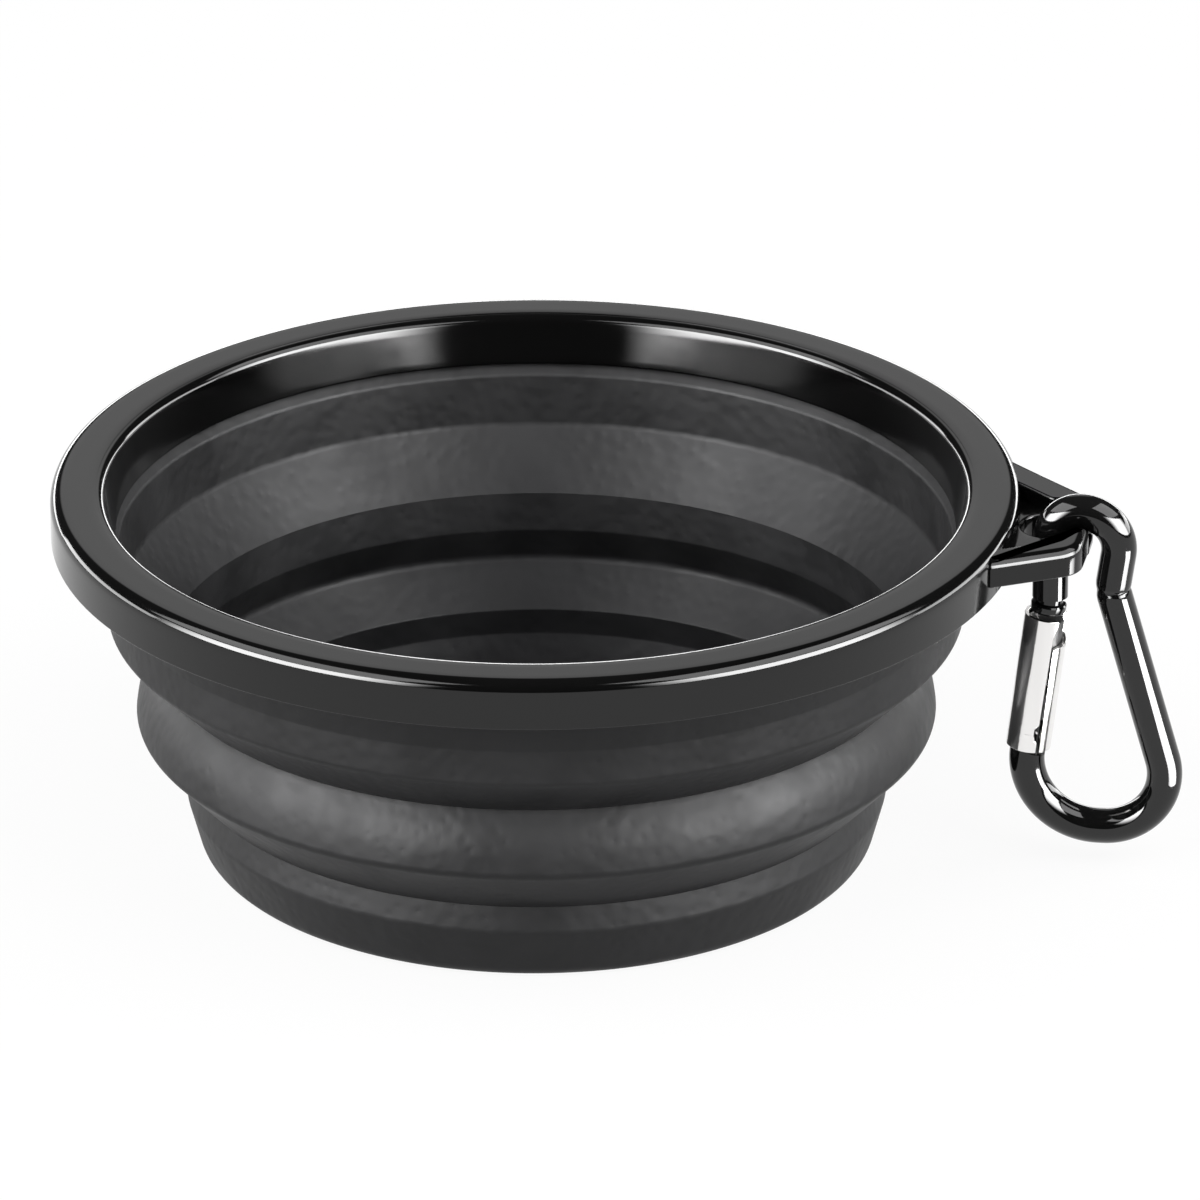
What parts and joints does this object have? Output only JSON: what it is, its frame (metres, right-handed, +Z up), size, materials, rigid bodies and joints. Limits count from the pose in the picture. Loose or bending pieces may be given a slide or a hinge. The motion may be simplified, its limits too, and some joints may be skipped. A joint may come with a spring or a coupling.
{
  "type": "collapsible pet bowl",
  "caption": "Collapsible travel bowl for a dog: a soft stepped bowl that folds up into a stiff glossy rim, with an ear on the rim that carries a wire spring clip",
  "frame": {"origin": "the middle of the flat underside of the base, on the surface that the bowl stands on", "axes": "+Z up out of the bowl's mouth; +X to the right in the picture, towards the ear and its clip; -Y towards the viewer"},
  "size_m": [0.1519, 0.13, 0.0533],
  "materials": {
    "rim_plastic": "glossy black moulded plastic",
    "lock_plastic": "satin black moulded plastic",
    "soft_rubber": "matte dark grey silicone with a fine texture",
    "clip_black": "glossy black anodised",
    "gate_silver": "polished silver",
    "spring_steel": "bright drawn wire"
  },
  "bodies": {
    "rim": {"rim_frame": "rim_plastic", "rim_lock_ring": "lock_plastic", "bowl_upper_band": "soft_rubber", "bowl_upper_fold": "soft_rubber"},
    "middle": {"bowl_middle_band": "soft_rubber", "bowl_lower_fold": "soft_rubber"},
    "base": {"bowl_base_cup": "soft_rubber"},
    "clip": {"clip_body": "clip_black"},
    "gate": {"gate_sleeve": "gate_silver", "gate_pin": "gate_silver", "gate_plug": "lock_plastic", "gate_spring": "spring_steel", "gate_plunger": "spring_steel"}
  },
  "joints": [
    {"name": "middle_fold", "type": "slide", "parent": "rim", "child": "middle", "axis": [0, 0, 1], "range_m": [0, 0.0145], "deforming": ["bowl_upper_fold"]},
    {"name": "base_fold", "type": "slide", "parent": "middle", "child": "base", "axis": [0, 0, 1], "range_m": [0, 0.0145], "deforming": ["bowl_lower_fold"]},
    {"name": "clip_sway", "type": "hinge", "parent": "rim", "child": "clip", "pos_m": [0.07322, -0.01003, 0.048], "axis": [0.9907, -0.1357, 0], "range_deg": [-15, 15]},
    {"name": "gate_swing", "type": "hinge", "parent": "clip", "child": "gate", "pos_m": [0.06645, -0.0091, 0.01857], "axis": [0.1357, 0.9907, 0], "range_deg": [0, 16], "stiffness_Nm_per_rad": 0.08, "springref_deg": -14.32}
  ],
  "couplings": [
    {"joint": "base_fold", "follows": "middle_fold", "ratio": 1}
  ]
}
